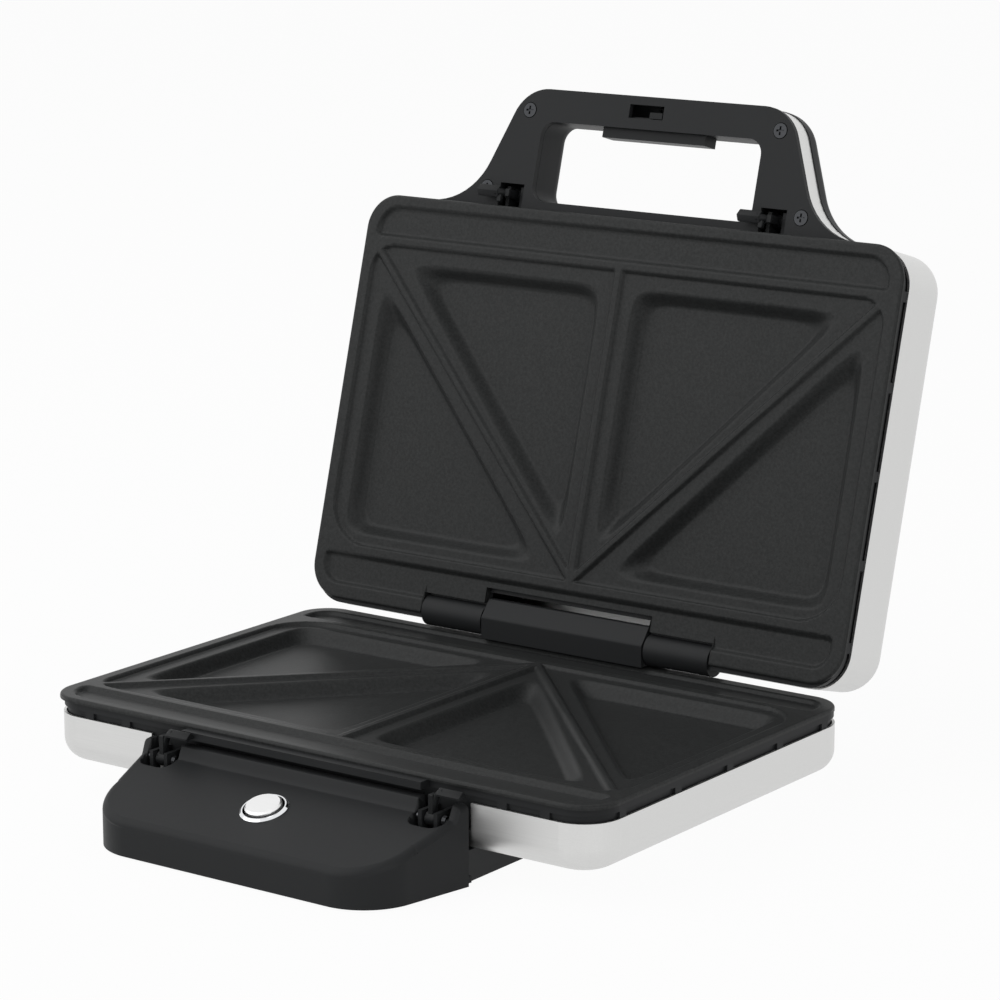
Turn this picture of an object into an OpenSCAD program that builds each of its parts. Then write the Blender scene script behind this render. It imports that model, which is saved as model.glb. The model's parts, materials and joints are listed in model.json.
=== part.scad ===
// Sandwich toaster with a hinged lid, shown open.
// Millimetres. X runs along the hinge, -Y is the front with the handle, +Z is up.
// The origin is the middle of the flat underside. The lower half is drawn as it stands.
// The lid is drawn closed, in the same frame, and turned about the hinge axis.

/* [Casing] */
// Strip between the pockets and each side of the steel casings
side_strip = 5; // [3.4:0.1:8]
// Strip between the pockets and the casings' front, with the drip channel
front_strip = 20; // [19:0.5:24]
// Strip between the pockets and the casings' back, with the drip channel
back_strip = 24.5; // [22.5:0.5:27]
// Radius of the casing corners, seen from above
case_corner_r = 15; // [13:0.5:16]
// Wall of the steel casings
case_wall = 1; // [0.8:0.1:1.3]
// Height of the lower casing's rim over the underside
rim_z = 30; // [28:0.5:33]
// Height of the lower steel pan
pan_h = 18.5; // [17.5:0.5:19]
// Height of the lid's steel shell
lid_h = 28.5; // [26:0.5:31]
// Radius between the casing walls and floor
edge_r = 8.5; // [6:0.5:9]

/* [Lid] */
// Angle between the plates in the open rest position
lid_open = 105.6; // [98:0.1:107]
// Gap between the plates' rims when closed
plate_gap = 1; // [0.8:0.1:2]
// Distance of the hinge axis in front of the casings' back face
hinge_in = 4; // [3.6:0.1:4.2]
// Height of the hinge axis over the upper plate's rim, closed
hinge_rise = 5.9; // [5.8:0.05:6]
// Radius of the lid's hinge barrels
barrel_r = 6.2; // [5.8:0.1:6.4]
// Radius of the hinge pins
pin_r = 2.5; // [2:0.1:3]
// Half length of the hinge block between the barrels
block_half = 38.5; // [34:0.5:42]
// Outer end of the hinge barrels
barrel_end = 68; // [60:0.5:72]

/* [Cooking plates] */
// Height of the plate's rim over the steel rim
plate_rise = 7; // [6.6:0.1:7.6]
// Overhang of the plate's edge past the casing sides
plate_over = 0.6; // [0:0.1:1.2]
// Thickness of the plate's visible edge
plate_edge = 1.3; // [1:0.1:1.5]
// Front to back length of the pocket area
pocket_d = 122.5; // [118:0.5:126]
// Half width of the pocket area
pocket_half = 120; // [116:0.5:121.5]
// Width of the rib between the two pockets
divider_w = 3.6; // [3:0.1:5]
// Width of the diagonal sealing ribs
rib_w = 3.4; // [2.6:0.1:4.5]
// Depth of the shallow ledge that seals the bread's edge
ledge_t = 1.6; // [1:0.1:2]
// Width of that ledge along the pocket's sides
ledge_w = 6.2; // [5:0.1:8]
// Depth of the triangular wells under the rim
well_t = 7; // [6.5:0.5:9]
// Distance that a well's walls lean in, from the ledge down to its floor
well_lean = 4.3; // [3:0.1:6]
// Metal left under the wells
plate_wall = 2.6; // [2:0.1:3]
// Depth of the drip channels
channel_t = 1.8; // [1:0.1:2]

/* [Handle] */
// Distance of the handle's front edge in front of the casings
handle_out = 49.4; // [47:0.2:52]
// Distance of the handle's front corners from the pockets' outer sides
handle_in = 69.5; // [67:0.5:72]
// Radius of the handle's front corners
handle_corner_r = 16.5; // [14:0.5:18]
// Radius of the flare at the handle's feet
flare_r = 28; // [24:0.5:30]
// Distance of the handle's feet from the sides of the casings
foot_in = 25; // [23:0.5:27]
// Length of the finger opening past the handle's straight front edge, each side
grip_more = 1.2; // [1:0.1:3]
// Depth of the grip bar, front to back
grip_d = 13; // [12.6:0.2:15]
// Corner radius of the finger opening
grip_r = 6; // [4:0.5:8]
// Depth of the handle's face under the upper plate's rim
handle_face = 7; // [6.6:0.1:8]
// Thickness of the inner handle cover at its edge
handle_inner_t = 2.3; // [2:0.1:2.6]
// Thickness of that cover inside the steel band
handle_body_t = 5; // [4.6:0.1:5.4]
// Height of the steel band round the handle
trim_h = 8.7; // [8.4:0.1:10]
// Thickness of the outer handle cover
handle_outer_t = 9; // [8:0.5:12]

/* [Front block] */
// Distance of the block's front edge in front of the casings
nose_out = 46.4; // [44:0.2:48]
// Radius of the block's front corners
nose_corner_r = 22; // [16:0.5:24]
// Rounding of the block's top edges
nose_edge_r = 3; // [2:0.5:6]
// Distance from a plate latch back to the middle of the block's front corner
nose_in = 15.4; // [14:0.2:18]
// Width of the block at the casing past the plate latches, each side
nose_more = 11.5; // [10:0.5:13]
// Slope of the block's top face, degrees
nose_slope = 17; // [14:0.5:20]
// Height of the top face at the button
nose_z = 20.2; // [19:0.1:21]
// Wall of the block and of the base
base_wall = 2.5; // [2:0.1:3]
// Distance of the base's sides inside the block's, under the pan
spine_in = 3; // [2:0.5:6]

/* [Button and latches] */
// Diameter of the steel button
button_d = 13.6; // [12:0.2:15]
// Diameter of the chrome ring
ring_d = 17.8; // [17.4:0.2:19]
// Travel of the button
button_travel = 2; // [1:0.1:2.2]
// Distance of the button's centre in front of the casings
button_out = 23.5; // [20:0.5:27]
// Distance of the plate latches past the ends of the finger opening
latch_off = 9.8; // [9:0.1:11]
// Length of a latch's finger bar from its neck
latch_reach = 15; // [12:0.5:17]
// Angle that a plate latch swings to let the plate go
latch_swing = 12; // [6:1:14]
// Travel of the squeeze bar in the handle
squeeze_travel = 2; // [1:0.1:2.5]
// Radius of the latch pins
latch_pin_r = 1.2; // [1:0.1:1.4]

/* [Fits] */
// Running clearance on the radius of a pin
run_gap = 0.05; // [0.02:0.01:0.1]
// Clearance between pieces that slide past each other
slide_gap = 0.4; // [0.3:0.05:0.6]
// Clearance between fixed pieces
fit_gap = 0.2; // [0.1:0.05:0.3]
// Height that the rubber feet stand proud of the underside
foot_proud = 0.8; // [0.5:0.1:1.5]

/* [Hidden] */

$fn = 48;
eps = 0.01;

// Casings, round the pocket area
case_w = 2 * (pocket_half + side_strip);
case_d = front_strip + pocket_d + back_strip;

// Heights
pan_z = rim_z - pan_h;                  // outside of the steel pan's floor
floor_z = pan_z + case_wall;            // inside of that floor
plate_z = rim_z + plate_rise;           // lower plate's rim
meet_z = plate_z + plate_gap / 2;       // plane half way between the plates' rims
flange_z = rim_z + 2.5;                 // underside of the frame's flange
flange_top = plate_z - plate_edge - 0.4;
shelf_z = flange_z + 0.5;               // shelf that carries the plate
hinge_y = case_d / 2 - hinge_in;
hinge_z = plate_z + plate_gap + hinge_rise;

// Widths that follow the pockets
half_w = case_w / 2;
handle_half = pocket_half - handle_in;
grip_half = handle_half + grip_more;
latch_x = grip_half + latch_off;
nose_half = latch_x - nose_in;
nose_back_half = latch_x + nose_more;
spine_half = nose_back_half - spine_in;
foot_half = half_w - foot_in;

// Plan outline of the casings
front_y = -case_d / 2;
back_y = case_d / 2;

// Plan of the plate
plate_half = half_w + plate_over;
plate_front = front_y - plate_over;
plate_back = back_y - 2;
plate_corner_r = case_corner_r - 1;
pocket_front = front_y + front_strip;
pocket_back = pocket_front + pocket_d;
pocket_mid = (pocket_front + pocket_back) / 2;
tub_z = plate_z - well_t - plate_wall;  // lowest face of the plate
tub_half = pocket_half - 1.5;
element_r = 3.3;
element_z = tub_z - element_r - 0.3;
reflector_t = 1;
reflector_z = element_z - element_r - 2.4;

// Frame section, measured in from the steel's outer face
lip_in = 0.4;
lip_w = 1.7;
skirt_in = 1.6;
skirt_w = 2;
plate_fit = lip_in + lip_w + 0.5;       // under-edge of the plate, inside the lip

// Front block and ledge
nose_y = front_y - button_out;
ledge_y = front_y - 4.5;
fold_y = ledge_y - 3.2;
nose_front = front_y - nose_out;
function nose_top(y) = nose_z + tan(nose_slope) * (y - nose_y);

// Latches
latch_y = front_y - 6.3;
latch_pivot_z = pan_z + edge_r + 3.9;
latch_w = 4.4;
latch_t = 3;
ear_t = 1.6;
notch_half = 6.8;
notch_front = front_y - 13.5;
latch_top = plate_z - 1.6;

// Handle levels in the closed position
handle_z = plate_z + plate_gap + handle_face;
body_z = handle_z + handle_body_t;
trim_z = handle_z + handle_inner_t;
outer_z = trim_z + trim_h;
handle_front = front_y - handle_out;
grip_y = handle_front + grip_d;
grip_back = front_y - 4.3;
trim_in = 0.4;                          // steel band, inside the covers' outline
trim_t = 1.1;
flange_in = trim_in + 4.6;              // inner edge of the band's flange
sleeve_t = 1.8;                         // plastic wall round the finger opening
window_x = -3.35;
window_half = 8;
bar_half = 24;

// Rear block
rear_y = back_y + 0.4;
rear_d = 6.45;
post_half = block_half - 0.5;
notch_top = 11.6;                       // height of the slot in the lid's back wall
barrel_notch = hinge_rise + barrel_r + 0.5 - plate_rise;

// Colours
steel = "#cfd0d1";
plate_grey = "#3d3e40";
black = "#2f3032";
chrome = "#e3e4e6";

// ---------- outlines ----------

// Points of an arc, as [x, y] pairs
function arc(cx, cy, r, a0, a1, n) =
    [for (i = [0:n]) let (a = a0 + (a1 - a0) * i / n) [cx + r * cos(a), cy + r * sin(a)]];
function mirrored(pts) = [for (i = [len(pts) - 1:-1:0]) [-pts[i][0], pts[i][1]]];

// Rounded rectangle with true arcs
module rounded(x0, x1, y0, y1, r) {
    translate([x0 + r, y0]) square([x1 - x0 - 2 * r, y1 - y0]);
    translate([x0, y0 + r]) square([x1 - x0, y1 - y0 - 2 * r]);
    for (x = [x0 + r, x1 - r], y = [y0 + r, y1 - r]) translate([x, y]) circle(r);
}

// Plan of the casing, moved in by d
module case_plan(d)
    rounded(-half_w + d, half_w - d, front_y + d, back_y - d, case_corner_r - d);

// Front block: front edge, corner arc and flank; moved in by d and cut off at y = back
nose_lean = 10;
nose_arc_x = nose_half + nose_corner_r * cos(nose_lean);
nose_arc_y = nose_front + nose_corner_r * (1 - sin(nose_lean));
block_back = front_y - 1.2;
function flank_x(y) =
    nose_arc_x + (nose_back_half - nose_arc_x) * (y - nose_arc_y) / (block_back - nose_arc_y);
function nose_half_pts(d, back) = concat(
    arc(nose_half, nose_front + nose_corner_r, nose_corner_r - d, -90, -nose_lean, 8),
    [[flank_x(back) - d, back]]);
module nose_plan(d, back) {
    h = nose_half_pts(d, back);
    polygon(concat(h, mirrored(h)));
}
// Back part of the block's plan, from y0 on
module rise_plan(d, y0) {
    h = [[flank_x(y0) - d, y0], [flank_x(block_back) - d, block_back]];
    polygon(concat(h, mirrored(h)));
}

// Handle: front edge, corner arc, leaning flank and concave flare to the feet
function handle_pts(d) =
    let (lean = 21)
    concat(
        arc(handle_half, handle_front + handle_corner_r, handle_corner_r - d, -90, -lean, 10),
        arc(foot_half, front_y - 1 - flare_r, flare_r + d, 180 - lean, 90, 10));
module handle_plan(d, back) {
    h = concat(handle_pts(d), [[foot_half, front_y + 6]]);
    intersection() {
        polygon(concat(h, mirrored(h)));
        translate([-foot_half, handle_front - 1]) square([2 * foot_half, back - handle_front + 1]);
    }
}
module grip_plan(d)
    rounded(-grip_half - d, grip_half + d, grip_y - d, grip_back + d, grip_r + d);

// ---------- frames of reference ----------

// Turns a lower-half piece over, to make its twin in the lid
module turned_over()
    translate([0, 0, meet_z]) rotate([0, 180, 0]) translate([0, 0, -meet_z]) children();

// Turns a piece drawn on the closed lid to the open rest position
module on_lid()
    translate([0, hinge_y, hinge_z]) rotate([-lid_open, 0, 0])
        translate([0, -hinge_y, -hinge_z]) children();

// ---------- steel casings ----------

// Section of a tray from a corner's centre outwards: r is the plan radius,
// h the height, er the radius between wall and floor
module tray_section(r, h, er) difference() {
    square([r, h]);
    difference() {
        translate([r - er, -1]) square([er + 1, er + 1]);
        translate([r - er, er]) circle(er);
    }
}
// The same section carried round a rounded rectangle, floor at z = 0
module tray_solid(d, h, er) {
    r = case_corner_r;
    for (s = [0, 180]) rotate([0, 0, s]) {
        translate([half_w - r, back_y - r, 0])
            rotate_extrude(angle = 90) tray_section(r - d, h, er);
        translate([-half_w + r, back_y - r, 0]) rotate([0, 0, 90])
            rotate_extrude(angle = 90) tray_section(r - d, h, er);
        translate([half_w - r, back_y - r, 0]) rotate([90, 0, 0])
            linear_extrude(2 * (back_y - r)) tray_section(r - d, h, er);
        translate([-half_w + r, back_y - r, 0]) rotate([90, 0, 90])
            linear_extrude(2 * (half_w - r)) tray_section(r - d, h, er);
    }
    translate([-half_w + r, -back_y + r, 0]) cube([2 * (half_w - r), 2 * (back_y - r), h]);
}
module tray(h) {
    difference() {
        tray_solid(0, h, edge_r);
        translate([0, 0, case_wall]) tray_solid(case_wall, h, edge_r - case_wall);
    }
}

// Places of the screws that hold the lower half together
screw_x = 40;
screw_y = [pocket_front - 4.6, pocket_back + 8];
module at_screws()
    for (sx = [-1, 1], y = screw_y) translate([sx * screw_x, y, 0]) children();

module base_pan() color(steel) difference() {
    translate([0, 0, pan_z]) tray(pan_h);
    // front wall is cut away where the block stands
    translate([-nose_back_half, front_y - 1, pan_z + edge_r])
        cube([2 * nose_back_half, 1 + edge_r, pan_h]);
    // back wall is cut away for the lid's wires
    translate([-12, back_y - edge_r, pan_z + edge_r + 1]) cube([24, edge_r + 1, pan_h]);
    // hole in the floor for the cord
    translate([0, back_y - 14, pan_z - 1]) cylinder(h = 4, r = 4);
    at_screws() translate([0, 0, pan_z - 1]) cylinder(h = 3, r = 2);
}

module lid_shell() color(steel) on_lid() turned_over() difference() {
    translate([0, 0, rim_z - lid_h]) tray(lid_h);
    // slot for the hinge block and its post
    translate([-block_half - 1, back_y - edge_r, rim_z - notch_top])
        cube([2 * block_half + 2, edge_r + 1, notch_top + 1]);
    // recess for the hinge barrels
    translate([-barrel_end - 1, back_y - edge_r, rim_z - barrel_notch])
        cube([2 * barrel_end + 2, edge_r + 1, barrel_notch + 1]);
    // front wall is open behind the handle, where its feet are screwed on
    translate([-foot_half + 16, front_y - 1, rim_z - 10]) cube([2 * foot_half - 32, 1 + edge_r / 2, 11]);
}

// ---------- frames ----------

tab_y = [for (k = [-0.79, -0.38, 0.02, 0.42, 0.79]) k * back_y];
tab_x = [half_w - 39, half_w - 21];
// Ring of the frame: lip, shelf and skirt
module frame_ring() {
    translate([0, 0, flange_z]) linear_extrude(flange_top - flange_z)
        difference() { case_plan(lip_in); case_plan(lip_in + lip_w); }
    translate([0, 0, shelf_z - 2]) linear_extrude(2)
        difference() {
            case_plan(lip_in + 1);
            rounded(-tub_half - 1.5, tub_half + 1.5, pocket_front - 1, pocket_back + 1, 8);
        }
    translate([0, 0, pan_z + edge_r + 0.5]) linear_extrude(rim_z - pan_z - edge_r + 0.51)
        difference() { case_plan(skirt_in); case_plan(skirt_in + skirt_w); }
}
// Small feet under the lip, which rest on the steel rim and part the vents
module frame_tabs() {
    for (s = [-1, 1], y = tab_y)
        translate([s * (half_w - lip_in - 2) - 2, y - 2, rim_z]) cube([4, 4, flange_z - rim_z + 0.2]);
    for (s = [-1, 1], x = tab_x)
        translate([s * x - 2, front_y + lip_in, rim_z]) cube([4, 4, flange_z - rim_z + 0.2]);
}
// Ears that carry a latch's pin
module latch_ears() {
    for (s = [-1, 1]) translate([s * latch_x, 0, 0])
        for (e = [-1, 1]) difference() {
            translate([e * (latch_w + ear_t) / 2 + e * slide_gap - ear_t / 2, latch_y - 3.2,
                       latch_pivot_z - 3.2])
                cube([ear_t, front_y + 4.2 - latch_y, 6.4]);
            translate([e * (latch_w / 2 + slide_gap) - 3, latch_y, latch_pivot_z])
                rotate([0, 90, 0]) cylinder(h = 6, r = latch_pin_r + run_gap);
        }
}

// Bar that ties the ears to the skirt, over the edge of the steel's front wall
module latch_bridge()
    translate([-latch_x - 7, front_y + 0.5, pan_z + edge_r + 0.4])
        cube([2 * latch_x + 14, edge_r + 1, 4]);

module base_frame() color(black) difference() {
    union() {
        frame_ring();
        frame_tabs();
        // ledge over the front block, between the latches
        translate([-latch_x + notch_half, ledge_y, flange_z])
            cube([2 * (latch_x - notch_half), front_y + 2 - ledge_y, flange_top - flange_z]);
        // bosses for the screws from below
        at_screws() translate([0, 0, floor_z + 0.1]) cylinder(h = shelf_z - 1.5 - floor_z, r = 4.2);
        // bridge that carries the latch ears
        latch_bridge();
        latch_ears();
    }
    at_screws() translate([0, 0, floor_z - 1]) cylinder(h = 9, r = 1.4);
}

module lid_frame() color(black) on_lid() difference() {
    union() {
        turned_over() {
            frame_ring();
            frame_tabs();
            latch_bridge();
            latch_ears();
        }
        // hinge barrels and the webs that tie them to the ring
        for (s = [-1, 1]) {
            translate([s * (block_half + barrel_end) / 2, hinge_y, hinge_z]) rotate([0, 90, 0])
                cylinder(h = barrel_end - block_half - slide_gap, r = barrel_r, center = true);
            translate([s > 0 ? block_half + slide_gap / 2 : -barrel_end + slide_gap / 2,
                       hinge_y - barrel_r + 1, hinge_z])
                cube([barrel_end - block_half - slide_gap, barrel_r + 1, 9]);
        }
    }
    // room for the hinge block
    translate([-block_half - slide_gap / 2, hinge_y - 11, plate_z])
        cube([2 * block_half + slide_gap, back_y - hinge_y + 12, 22]);
    for (s = [-1, 1])
        translate([s > 0 ? block_half - 1 : -barrel_end + 4, hinge_y, hinge_z]) rotate([0, 90, 0])
            cylinder(h = barrel_end - block_half - 3, r = pin_r + fit_gap / 10);
}

// ---------- cooking plates ----------

// Ends of the diagonal rib's middle line, for the pocket on the right
rib_front = [pocket_half - 6.5, pocket_front + 6.3];
rib_back = [divider_w / 2 + 4.7, pocket_back - 7.1];
// Corners of one triangular well at the ledge, before they are rounded.
// near: the triangle on the front side of the rib; otherwise the one at the back.
function well_pts(near) = near
    ? [[divider_w / 2 + ledge_w - 0.3, pocket_front + ledge_w + 0.4],
       [rib_front[0] - 9.8, pocket_front + ledge_w + 0.4],
       [divider_w / 2 + ledge_w - 0.3, rib_back[1] - 5.1]]
    : [[pocket_half - ledge_w, rib_front[1] + 8.2],
       [pocket_half - ledge_w, pocket_back - ledge_w + 1.8],
       [rib_back[0] + 9.4, pocket_back - ledge_w + 1.8]];
// Centre and radius of the circle that touches all three sides of a triangle
function side_lengths(p) = [norm(p[1] - p[2]), norm(p[2] - p[0]), norm(p[0] - p[1])];
function incentre(p) = let (s = side_lengths(p))
    (p[0] * s[0] + p[1] * s[1] + p[2] * s[2]) / (s[0] + s[1] + s[2]);
function inradius(p) = let (s = side_lengths(p), h = (s[0] + s[1] + s[2]) / 2)
    sqrt((h - s[0]) * (h - s[1]) * (h - s[2]) / h);
// One well: a rounded triangle whose walls lean in down to its floor
module well(near) {
    p = well_pts(near);
    mid = incentre(p);
    module outline(lean, radii) for (i = [0:2])
        translate(mid + (p[i] - mid) * (1 - (lean + radii[i]) / inradius(p)))
            circle(radii[i], $fn = 24);
    hull() {
        translate([0, 0, plate_z - ledge_t]) linear_extrude(ledge_t + 1)
            outline(0, near ? [8, 4, 4] : [4, 8, 4]);
        translate([0, 0, plate_z - well_t]) linear_extrude(eps)
            outline(well_lean, near ? [6, 4, 4] : [4, 6, 4]);
    }
}
// Middle line of the diagonal rib, run on into the rims at both ends
rib_dir = (rib_back - rib_front) / norm(rib_back - rib_front);
rib_side = [rib_dir[1], -rib_dir[0]] * rib_w / 2;
rib_a = rib_front - 14 * rib_dir;
rib_b = rib_back + 8 * rib_dir;
// Area of the shallow ledge round one pocket, without its rib
module pocket_plan() difference() {
    intersection() {
        rounded(-60, pocket_half, pocket_front, pocket_back + 40, 10);
        rounded(-60, pocket_half, pocket_front - 40, pocket_back, 18);
        translate([divider_w / 2, pocket_front]) square([pocket_half, pocket_d]);
    }
    polygon([rib_a + rib_side, rib_b + rib_side, rib_b - rib_side, rib_a - rib_side]);
}

module plate() difference() {
    union() {
        translate([0, 0, plate_z - plate_edge]) linear_extrude(plate_edge)
            rounded(-plate_half, plate_half, plate_front, plate_back, plate_corner_r);
        translate([0, 0, shelf_z]) linear_extrude(plate_z - plate_edge - shelf_z + eps)
            rounded(-half_w + plate_fit, half_w - plate_fit, front_y + plate_fit,
                    back_y - plate_fit, case_corner_r - plate_fit);
        translate([0, 0, tub_z]) linear_extrude(shelf_z - tub_z + eps)
            rounded(-tub_half, tub_half, pocket_front + 1, pocket_back - 1, 8);
    }
    // drip channels at the front and the back
    translate([0, 0, plate_z - channel_t]) linear_extrude(channel_t + 1) intersection() {
        rounded(-pocket_half, pocket_half, plate_front + 4.5, pocket_front + 30, 10);
        rounded(-pocket_half, pocket_half, plate_front - 30, pocket_front - 3.5, 1.5);
    }
    translate([0, 0, plate_z - channel_t]) linear_extrude(channel_t + 1) intersection() {
        rounded(-pocket_half, pocket_half, pocket_back + 4, pocket_back + 40, 1.5);
        rounded(-pocket_half, pocket_half, pocket_front, plate_back - 5.9, 8);
    }
    // pockets
    for (s = [0, 1]) mirror([s, 0, 0]) {
        translate([0, 0, plate_z - ledge_t]) linear_extrude(ledge_t + 1) pocket_plan();
        well(true);
        well(false);
    }
}

module lower_plate() color(plate_grey) plate();

module upper_plate() color(plate_grey) on_lid() difference() {
    turned_over() plate();
    // cut-out for the hinge block, and relief for the barrels beside it
    translate([-block_half - 0.5, hinge_y - 10, plate_z])
        cube([2 * block_half + 1, 20, 20]);
    translate([-barrel_end - 0.5, hinge_y - barrel_r - slide_gap, plate_z])
        cube([2 * barrel_end + 1, 20, 20]);
}

// ---------- heating ----------

element_x = pocket_half - 36;
element_y = [pocket_front + 22, pocket_back - 24.5];
bend_r = 14;
leg_x = 14;
// Bent tube: a rounded loop, open at the back, with two legs
module element() {
    y0 = element_y[0];
    y1 = element_y[1];
    module bar(p, q) {
        v = q - p;
        translate([p[0], p[1], element_z]) rotate([0, 0, atan2(v[1], v[0])]) rotate([0, 90, 0])
            cylinder(h = norm(v), r = element_r);
    }
    module bend(cx, cy, a) translate([cx, cy, element_z]) rotate([0, 0, a])
        rotate_extrude(angle = 90) translate([bend_r, 0]) circle(element_r);
    bar([-element_x + bend_r, y0], [element_x - bend_r, y0]);
    for (s = [-1, 1]) {
        bar([s * element_x, y0 + bend_r], [s * element_x, y1 - bend_r]);
        bend(s * (element_x - bend_r), y0 + bend_r, s > 0 ? -90 : 180);
        bend(s * (element_x - bend_r), y1 - bend_r, s > 0 ? 0 : 90);
        bar([s * (leg_x + bend_r), y1], [s * (element_x - bend_r), y1]);
        bend(s * (leg_x + bend_r), y1 + bend_r, s > 0 ? 180 : -90);
        bar([s * leg_x, y1 + bend_r], [s * leg_x, y1 + bend_r + 9]);
    }
}
module lower_element() color("#8b8780") element();
module upper_element() color("#8b8780") on_lid() turned_over() element();

// Sheet tray under the element, with cradles for it
sheet_half = pocket_half - 13;
sheet_front = pocket_front + 6;
sheet_back = pocket_back - 6.5;
sheet_rim = 5;
pad_w = 8;
pad_x = sheet_half - 13;
pad_y = [sheet_front + 8, sheet_back - 14];
module reflector() {
    translate([-sheet_half, sheet_front, reflector_z])
        cube([2 * sheet_half, sheet_back - sheet_front, reflector_t]);
    difference() {
        for (y = [sheet_front, sheet_back - reflector_t])
            translate([-sheet_half, y, reflector_z]) cube([2 * sheet_half, reflector_t, sheet_rim]);
        // gap for the element's legs
        translate([-leg_x - 5, sheet_back - 4, reflector_z + reflector_t])
            cube([2 * leg_x + 10, 10, sheet_rim + 1]);
    }
    for (sx = [-1, 1]) {
        for (y = pad_y) translate([sx * pad_x - pad_w / 2, y, floor_z])
            cube([pad_w, pad_w, reflector_z - floor_z + eps]);
        translate([sx * element_x - 5, pocket_mid - 4.25, reflector_z + reflector_t - eps])
            cube([10, pad_w, element_z - element_r - reflector_z - reflector_t]);
    }
}
module lower_reflector() color("#b9bbbd") reflector();
lid_deep = lid_h - pan_h;
module upper_reflector() color("#b9bbbd") on_lid() turned_over() {
    reflector();
    // longer legs, because the lid is deeper than the pan
    for (sx = [-1, 1], y = pad_y) translate([sx * pad_x - pad_w / 2, y, floor_z - lid_deep])
        cube([pad_w, pad_w, lid_deep + eps]);
}

stat_r = 9;
stat_neck_r = 6.5;
module thermostat() color("#c9c2b4") translate([0, pocket_mid - 2.25, reflector_z + reflector_t]) {
    cylinder(h = 3, r = stat_r);
    cylinder(h = tub_z - reflector_z - reflector_t - 0.3, r = stat_neck_r);
    // terminal blades on both sides
    translate([-stat_r - 7.5, -2.5, 0]) cube([2 * stat_r + 15, 5, 0.8]);
}

// ---------- front block and base ----------

// The block's solid, moved in by d: walls, sloped top with rounded edges, and the rise at its back
module nose_solid(d, low) {
    er = nose_edge_r;
    hull() {
        translate([0, 0, low]) linear_extrude(3) nose_plan(d, fold_y + 1);
        for (a = [0, 30, 60, 90])
            multmatrix([[1, 0, 0, 0], [0, 1, 0, 0],
                        [0, tan(nose_slope), 1, nose_top(0) - d - er + er * sin(a)], [0, 0, 0, 1]])
                linear_extrude(eps) nose_plan(d + er * (1 - cos(a)), fold_y + 1);
    }
    hull() {
        translate([0, 0, low]) linear_extrude(eps) rise_plan(d, fold_y);
        translate([0, 0, nose_top(fold_y) - d - er * 0.6]) linear_extrude(eps) rise_plan(d, fold_y);
        translate([0, 0, nose_top(fold_y) - d - eps]) linear_extrude(eps) rise_plan(d + er * 0.6, fold_y);
        translate([0, 0, rim_z - d - 3]) linear_extrude(eps) rise_plan(d, ledge_y + d);
        translate([0, 0, rim_z - d - eps]) linear_extrude(eps) rise_plan(d + 2, ledge_y + d);
    }
}
// Carries a piece drawn upright at the origin onto the sloped face, at the button
module at_button()
    translate([0, nose_y, nose_z]) rotate([nose_slope, 0, 0]) children();

module front_block() color(black) difference() {
    union() {
        difference() {
            nose_solid(0, 0);
            nose_solid(base_wall, -1);
        }
        // bush behind the button
        intersection() {
            at_button() translate([0, 0, -8]) cylinder(h = 8, r = ring_d / 2 + 2.5);
            nose_solid(0.5, 0);
        }
    }
    at_button() translate([0, 0, -14]) cylinder(h = 20, r = button_d / 2 + 0.3);
    at_button() translate([0, 0, -1]) cylinder(h = 6, r = ring_d / 2 + fit_gap / 2);
    // notches in which the plate latches swing
    for (s = [-1, 1]) translate([s * latch_x, 0, 0]) {
        translate([-notch_half, notch_front + 4, latch_pivot_z - 6])
            cube([2 * notch_half, 30, 30]);
        for (e = [-1, 1]) translate([e * (notch_half - 4), notch_front + 4, latch_pivot_z - 6])
            cylinder(h = 30, r = 4);
        translate([-notch_half + 4, notch_front, latch_pivot_z - 6])
            cube([2 * notch_half - 8, 10, 30]);
    }
}

module base_spine() color(black) {
    front = nose_front + base_wall + 1;
    difference() {
        union() {
            // floor, inside the front block's walls and under the pan
            linear_extrude(base_wall) nose_plan_floor();
            // side walls under the pan
            for (s = [-1, 1]) translate([s > 0 ? spine_half - base_wall : -spine_half, front_y + 2, 0])
                cube([base_wall, case_d - 2, pan_z]);
            translate([-spine_half, back_y - base_wall, 0]) cube([2 * spine_half, base_wall, pan_z]);
            at_screws() cylinder(h = pan_z, r = 6);
        }
        at_screws() {
            translate([0, 0, -1]) cylinder(h = pan_z + 2, r = 1.8);
            translate([0, 0, -1]) cylinder(h = 5, r = 4);
        }
        at_feet() translate([0, 0, -1]) cylinder(h = 2, r = foot_r + fit_gap);
        // hole for the cord
        translate([0, back_y - base_wall - 1, cord_z]) rotate([-90, 0, 0])
            cylinder(h = base_wall + 2, r = gland_r - 1);
        // vents
        for (x = [-28:8:28]) translate([x - 1.5, -20, -1]) cube([3, 36, base_wall + 2]);
    }
}
module nose_plan_floor() {
    intersection() {
        nose_plan(base_wall + 0.3, front_y + 3);
        translate([-200, -200]) square([400, 200 + front_y + 3]);
    }
    translate([-spine_half, front_y + 2]) square([2 * spine_half, case_d - 2]);
}

foot_r = 7;
foot_places = [for (p = [[spine_half - 20, front_y - 26], [spine_half - 12, back_y - 12]], s = [-1, 1])
    [s * p[0], p[1]]];
module at_feet() for (p = foot_places) translate([p[0], p[1], 0]) children();
module foot_pads() color("#1d1d1e") at_feet()
    translate([0, 0, -foot_proud]) cylinder(h = foot_proud + 1, r = foot_r);

module base_screws() color("#a9abad") at_screws() {
    translate([0, 0, 4 - 2.2]) difference() {
        cylinder(h = 2.2, r = 3.4);
        translate([-2.4, -0.4, -1]) cube([4.8, 0.8, 1.9]);
        translate([-0.4, -2.4, -1]) cube([0.8, 4.8, 1.9]);
    }
    translate([0, 0, 4 - eps]) cylinder(h = floor_z + 7.5 - 4, r = 1.38);
}

// ---------- button ----------

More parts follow.
